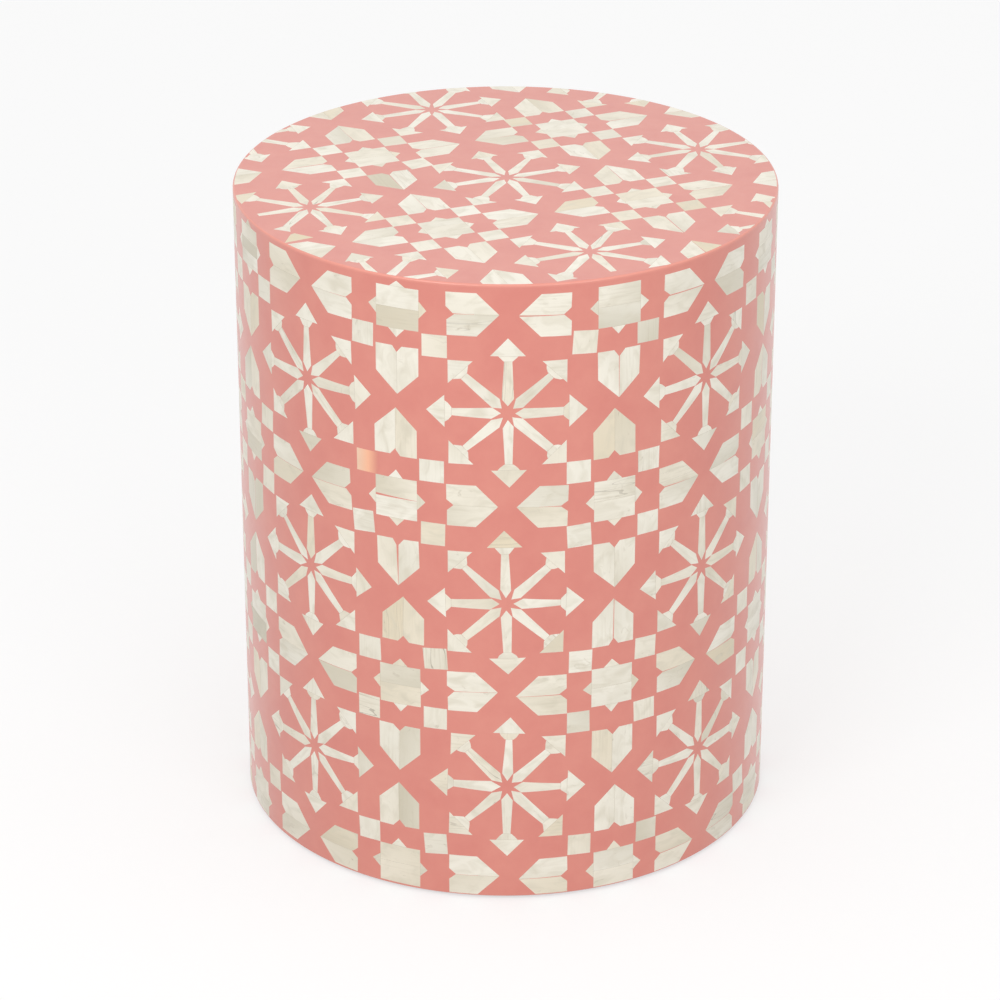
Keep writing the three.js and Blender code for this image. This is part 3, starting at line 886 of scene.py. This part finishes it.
CRACK_SHARE = 0.007  # half the width of a hairline, as a share of the pattern that it follows
on_crack = add_node(
    bone, "ShaderNodeMath", {0: patterns["cracks"], 1: 0.5, 2: CRACK_SHARE}, operation="COMPARE"
)

# How strongly each mark shows: not up to one value of what it follows, and fully from another on.
# Streaks and cracks show most in tiles with a strong figure, and pores only within stains.
marks = {}
for name, follows, start, full, least, most in (
    ("figure", figure, 0, 1, 0.054, 0.36),
    ("clouds", patterns["clouds"], 0.44, 0.78, 0, 0.6),
    ("streaks", patterns["streaks"], 0.48, 0.82, 0, "figure"),
    ("stains", patterns["stains"], 0.68, 0.84, 0, 0.4),
    ("pored stains", patterns["stains"], 0.68, 0.8, 0, 0.6),
    ("pores", patterns["pores"], 0.6, 0.74, 0, "pored stains"),
    ("crack depth", figure, 0.78, 0.92, 0, 0.5),
    ("cracks", on_crack, 0, 1, 0, "crack depth"),
    ("peach", shine, 0, 0.7, 0, 1),
    ("coral", shine, 0.7, 1, 0, 1),
):
    inputs = {0: follows, 1: start, 2: full, 3: least, 4: marks.get(most, most)}
    marks[name] = add_node(bone, "ShaderNodeMapRange", inputs)

coats = [
    (tone, "#cec7b2"),
    (warmth, "#e7d7b7"),
    (marks["clouds"], "#dad2bd"),
    (marks["streaks"], "#c4b89d"),
    (marks["stains"], "#bdb29b"),
    (marks["pores"], "#a3937a"),
    (marks["cracks"], "#8d8272"),
    (marks["peach"], "#ffc09c"),
    (marks["coral"], "#de8c7e"),
]
lay_colours(bone, bone_surface, "#fbf6e8", coats)
polish = add_node(bone, "ShaderNodeMapRange", {0: patterns["streaks"], 3: 0.28, 4: 0.44})
link(bone, polish, bone_surface.inputs["Roughness"])

ON_SURFACE = 0.02  # mm; a corner no deeper than this lies on the drum's surface
LEVEL_NORMAL = 0.999
RIM_ZONE, CUT_ZONE = 1.5, 2  # mm under the top: the rounded rim, and pocket walls that cross it


def true_normals(piece):
    """Shades the faceted drum as the true cylinder and flat top that it stands for."""
    data = piece.data
    normals = []
    for face in data.polygons:
        under_top = STOOL_HEIGHT - face.center.z / MM
        spots = [data.vertices[i].co for i in face.vertices]
        on_drum = all(spot.xy.length > (STOOL_RADIUS - ON_SURFACE) * MM for spot in spots)
        if on_drum and under_top > RIM_ZONE:
            normals.extend(Vector((spot.x, spot.y, 0)).normalized() for spot in spots)
        elif abs(face.normal.z) > LEVEL_NORMAL or under_top > CUT_ZONE:
            normals.extend([face.normal.copy()] * len(face.vertices))
        else:
            normals.extend([Vector((0, 0, 0))] * len(face.vertices))
    data.normals_split_custom_set(normals)


bone_kinds = ("rosette", "star", "square", "heart")
for number, sheet in enumerate(wall_sheets, start=1):
    tiles = solid_tiles([sheet], bone_kinds, -BONE_THICKNESS, 0, on_wall)
    piece = place(tiles, f"bone_column_{number}", bone, [f"wall_inlay_{number}"])
    true_normals(piece)


# THE TESSERAE OF THE TOP
# The same tiles laid flat round a rosette near the middle, turned half a column from the wall's
# and cut off along the rim before the resin goes in.

TOP_PITCH = 142
TOP_TURN = math.radians(22.4)
TOP_MIDDLE = point(0.9, 3.7)
RIM_CUT = 181.3
STAR_REACH, ROSETTE_REACH = 67, 56  # from its middle, how far a motif's tiles can reach
TOP_SQUARE = 23.2
TOP_HEART_BASE = 31.1
TOP_SLIM = 0.93
top_star_shifts = {
    (-1, -1): (-1, 2.2), (-1, 0): (1.2, -0.5), (0, -1): (-1.8, 0.5),
    (0, 0): (0, 0.5), (-1, -2): (0, 3), (0, -2): (-2.6, -2),
}
top_rosette_shifts = {
    (-1, -1): (-1.5, 3.5), (-1, 0): (1.5, 0), (0, -1): (-1, 0.5),
    (0, 0): (0, 0.2), (0, 1): (1.8, -1), (1, 0): (-0.8, -1.2),
}
bare_spokes = {(-1, 0): [4], (0, -1): [6]}  # by rosette, where the rim left no room for the rest
headless_spokes = {(-1, 0): [5]}
rim_chip = [point(-142.4, -112.2), point(-124.5, -103.2), point(-137, -96), point(-139.6, -98)]

top_sheet = Sheet(rim=RIM_CUT)


def on_lattice(x, y):
    return moved([point(x * TOP_PITCH, y * TOP_PITCH)], TOP_MIDDLE, TOP_TURN)[0]


for i, j in [(i, j) for i in range(-2, 3) for j in range(-2, 3)]:
    star_spot = on_lattice(i + 0.5, j + 0.5)
    if star_spot.length < RIM_CUT + STAR_REACH:
        star_spot += wander(top_star_shifts, (i, j))
        lay_star(top_sheet, star_spot, TOP_TURN)
        for across, up in FOUR_WAYS:
            beside = point(across * TOP_SQUARE, up * TOP_SQUARE)
            lay_square(top_sheet, moved([beside], star_spot, TOP_TURN)[0], TOP_TURN)
        for k in range(4):
            lay_heart(top_sheet, star_spot, TOP_TURN + k * QUARTER, TOP_HEART_BASE)
    rosette_spot = on_lattice(i, j)
    if rosette_spot.length < RIM_CUT + ROSETTE_REACH:
        rosette_spot += wander(top_rosette_shifts, (i, j))
        reach = TOP_PITCH / 2 - TOP_SQUARE - SQUARE_WIDE - CORNER_GAP
        corners = [point(a * reach, b * reach) for a, b in ((1, 1), (-1, 1), (-1, -1), (1, -1))]
        bare, headless = bare_spokes.get((i, j), ()), headless_spokes.get((i, j), ())
        lay_rosette(top_sheet, rosette_spot, corners, TOP_TURN, TOP_SLIM, bare, headless)
top_sheet.saw("heart", rim_chip, varied=2)


def on_top(spot):
    return Vector((spot.x, spot.y, STOOL_HEIGHT + spot.z)) * MM


top_tiles = solid_tiles([top_sheet], bone_kinds, -BONE_THICKNESS, 0, on_top)
rim_nodes = [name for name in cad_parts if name.startswith("rim_tessera_")]
place(top_tiles, "bone_top", bone, ["top_inlay"] + rim_nodes)


# THE GLUE LINES
# Where two tiles of one motif meet, a hair of hide glue and bone dust fills the joint. It is
# scraped off just under the surface.

GLUE_SUNK = 0.03
DUST_PATCH = (4, 4, 4)

# Hide glue and bone dust: set hard and scraped. Beige, with paler and darker lengths.
glue, glue_surface = start_material("hide_glue_and_bone_dust", "#c4b8a2", {"Roughness": 0.5})
fleck(glue, glue_surface, DUST_PATCH, "#a89a84", "#ddd3bf", 2)

inlays = {"wall": (wall_sheets, on_wall), "top": ([top_sheet], on_top)}
for name, (sheets, lay) in inlays.items():
    lines = solid_tiles(sheets, ["glue"], -BONE_THICKNESS, -GLUE_SUNK, lay)
    piece = as_object(lines, f"glue_lines_{name}")
    piece.data.materials.append(glue)
    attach(piece, "root")


# THE RESIN GROUND
# Coral polyester resin, poured round the tiles and over the rim, then sanded flush with them and
# polished. It lies 4 mm thick on the plywood, and each tile sits in its own pocket.

RIM_RADIUS = 1.4
RIM_STEPS = 6
FOOT_EASE = 0.4
SKIN_INNER = PLY_OUTER + 0.1
SKIN_FOOT = PLY_FOOT
SKIN_UNDER_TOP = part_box("top_ground")[0].z / MM
POCKET_DEPTH = BONE_THICKNESS + 0.08
GLUE_STEP = 0.05  # how much shallower a glue line is than the pockets that it joins
POCKET_RISE = 0.6  # how far the pocket cutters stand above the surface
WALL_BANDS, TOP_BANDS = 34, 14  # rows of facets, so that no facet holds many pockets
MOTTLE, BUFFING = 28, 6  # mm across
RIM_HIGHLIGHT_START, RIM_HIGHLIGHT_FULL = STOOL_HEIGHT - 2.6, STOOL_HEIGHT - 0.7  # heights where the rim's painted highlight starts and is full
RIM_HIGHLIGHT_FADE, RIM_HIGHLIGHT_END = STOOL_HEIGHT - 0.1, STOOL_HEIGHT - 0.01
RIM_HIGHLIGHT_STRENGTH = 0.65

band_height = (STOOL_HEIGHT - RIM_RADIUS - SKIN_FOOT - FOOT_EASE) / WALL_BANDS
skin_profile = [
    (0, SKIN_UNDER_TOP),
    (SKIN_INNER, SKIN_UNDER_TOP),
    (SKIN_INNER, SKIN_FOOT),
    (STOOL_RADIUS - FOOT_EASE, SKIN_FOOT),
    *[(STOOL_RADIUS, SKIN_FOOT + FOOT_EASE + band_height * i) for i in range(WALL_BANDS)],
    *[
        (
            STOOL_RADIUS - RIM_RADIUS + RIM_RADIUS * math.cos(QUARTER * i / RIM_STEPS),
            STOOL_HEIGHT - RIM_RADIUS + RIM_RADIUS * math.sin(QUARTER * i / RIM_STEPS),
        )
        for i in range(RIM_STEPS + 1)
    ],
    *[
        ((STOOL_RADIUS - RIM_RADIUS) * (1 - i / TOP_BANDS), STOOL_HEIGHT)
        for i in range(1, TOP_BANDS + 1)
    ],
]

# Coral polyester resin: cast, sanded and buffed with wax. Even and opaque, with a satin sheen and
# a faint mottle where pigment and filler settled. The rim's paler band is a painted highlight.
resin_settings = {
    "Roughness": 0.34, "IOR": 1.56, "Coat Weight": 0.45, "Coat Roughness": 0.22, "Coat IOR": 1.5
}
resin, resin_surface = start_material("coral_polyester_resin_buffed", "#de8c7e", resin_settings)
where = add_node(resin, "ShaderNodeTexCoord")
in_place = where.outputs["Object"]
inputs = {"Vector": in_place, "Scale": 1 / (MOTTLE * MM), "Detail": 4, "Roughness": 0.6}
mottle = add_node(resin, "ShaderNodeTexNoise", inputs)
mottle_share = add_node(resin, "ShaderNodeMapRange", {0: mottle, 1: 0.3, 2: 0.7})
height = add_node(resin, "ShaderNodeSeparateXYZ", {0: in_place})
# Painted highlight: the resin is coloured paler in a thin band under the top edge, where the
# rounded rim faces the lamps.
inputs = {0: height.outputs[2], 1: RIM_HIGHLIGHT_START * MM, 2: RIM_HIGHLIGHT_FULL * MM, 3: 0, 4: RIM_HIGHLIGHT_STRENGTH}
rim_highlight_rise = add_node(resin, "ShaderNodeMapRange", inputs)
inputs = {0: height.outputs[2], 1: RIM_HIGHLIGHT_FADE * MM, 2: RIM_HIGHLIGHT_END * MM, 3: rim_highlight_rise, 4: 0}
painted_rim_highlight = add_node(resin, "ShaderNodeMapRange", inputs)
coats = [(mottle_share, "#e48f80"), (painted_rim_highlight, "#ee9c8a")]
lay_colours(resin, resin_surface, "#de8578", coats)
buffing = add_node(
    resin, "ShaderNodeTexNoise", {"Vector": in_place, "Scale": 1 / (BUFFING * MM), "Detail": 3}
)
sheen = add_node(resin, "ShaderNodeMapRange", {0: buffing, 3: 0.28, 4: 0.42})
link(resin, sheen, resin_surface.inputs["Roughness"])

skin_nodes = ["side_ground", "top_ground"]
skin = place(revolve(skin_profile), "resin_ground", resin, skin_nodes)
cutters = []
for kind in (*bone_kinds, "glue"):
    bed = -POCKET_DEPTH + (GLUE_STEP if kind == "glue" else 0)
    for sheets, lay in inlays.values():
        cutters.append(solid_tiles(sheets, [kind], bed, POCKET_RISE, lay))
cut_away(skin, cutters, "pocket")
for vert in skin.data.vertices:
    radius = vert.co.xy.length
    if radius > (STOOL_RADIUS - 0.1) * MM and vert.co.z < (STOOL_HEIGHT - RIM_RADIUS) * MM:
        vert.co.xy *= STOOL_RADIUS * MM / radius
skin.data.set_sharp_from_angle(angle=SHARP_ANGLE)
true_normals(skin)


# THE STUDIO
# A pale floor that keeps the stool's shadow, two soft boxes, and a camera above and in front.

FLOOR_HALF = 12
FLOOR_GLOW = 0.575  # what the camera sees of the floor is this much brighter, up to white
SKY_LIGHT = 0.825

paper_settings = {"Roughness": 0.9, "Emission Color": linear("#ffffff")}
paper, paper_surface = start_material("floor_paper", "#aaaaaa", paper_settings)
floor_mesh = bmesh.new()
bmesh.ops.create_grid(floor_mesh, x_segments=8, y_segments=8, size=FLOOR_HALF)
floor = as_object(floor_mesh, "floor")
floor.data.materials.append(paper)

world = bpy.data.worlds.new("studio")
bpy.context.scene.world = world
world.use_nodes = True
sky = world.node_tree.nodes["Background"]
sky.inputs["Color"].default_value = linear("#ffffff")

for backdrop, strength, light, seen_light in (
    (paper, paper_surface.inputs["Emission Strength"], 0, FLOOR_GLOW),
    (world, sky.inputs["Strength"], SKY_LIGHT, 1),
):
    path = add_node(backdrop, "ShaderNodeLightPath")
    inputs = {0: path.outputs["Is Camera Ray"], 1: path.outputs["Is Glossy Ray"]}
    mirrored = add_node(backdrop, "ShaderNodeMath", inputs, operation="ADD")
    inputs = {0: mirrored, 1: path.outputs["Is Transmission Ray"]}
    seen = add_node(backdrop, "ShaderNodeMath", inputs, operation="ADD", use_clamp=True)
    inputs = {0: seen, 1: seen_light - light, 2: light}
    brightness = add_node(backdrop, "ShaderNodeMath", inputs, operation="MULTIPLY_ADD")
    link(backdrop, brightness, strength)


def soft_box(name, spot, aim, size, watts):
    light = bpy.data.lights.new(name, "AREA")
    light.shape = "SQUARE"
    light.size = size
    light.energy = watts
    lamp = bpy.data.objects.new(name, light)
    bpy.context.scene.collection.objects.link(lamp)
    lamp.location = spot
    lamp.rotation_euler = (Vector(aim) - Vector(spot)).to_track_quat("-Z", "Y").to_euler()


soft_box("key_box", (-0.97, -1.8, 1.65), (0, 0, 0.3), size=1.1, watts=14.8)
soft_box("front_box", (0.95, -2.0, 1.0), (0, 0, 0.3), size=1.2, watts=8.6)

CAMERA_ELEVATION = math.radians(25.781)
CAMERA_DISTANCE = 2830.95
CAMERA_ASIDE = -3.722
CAMERA_AIM = 211.572
eye = bpy.data.cameras.new("camera")
eye.sensor_width = 36
eye.lens = 146.64
eye.clip_end = 50
camera = bpy.data.objects.new("camera", eye)
bpy.context.scene.collection.objects.link(camera)
camera.location = (
    CAMERA_ASIDE * MM,
    -CAMERA_DISTANCE * math.cos(CAMERA_ELEVATION) * MM,
    (CAMERA_AIM + CAMERA_DISTANCE * math.sin(CAMERA_ELEVATION)) * MM,
)
camera.rotation_euler = (QUARTER - CAMERA_ELEVATION, 0, 0)
bpy.context.scene.camera = camera

bpy.context.scene.view_settings.view_transform = "Standard"
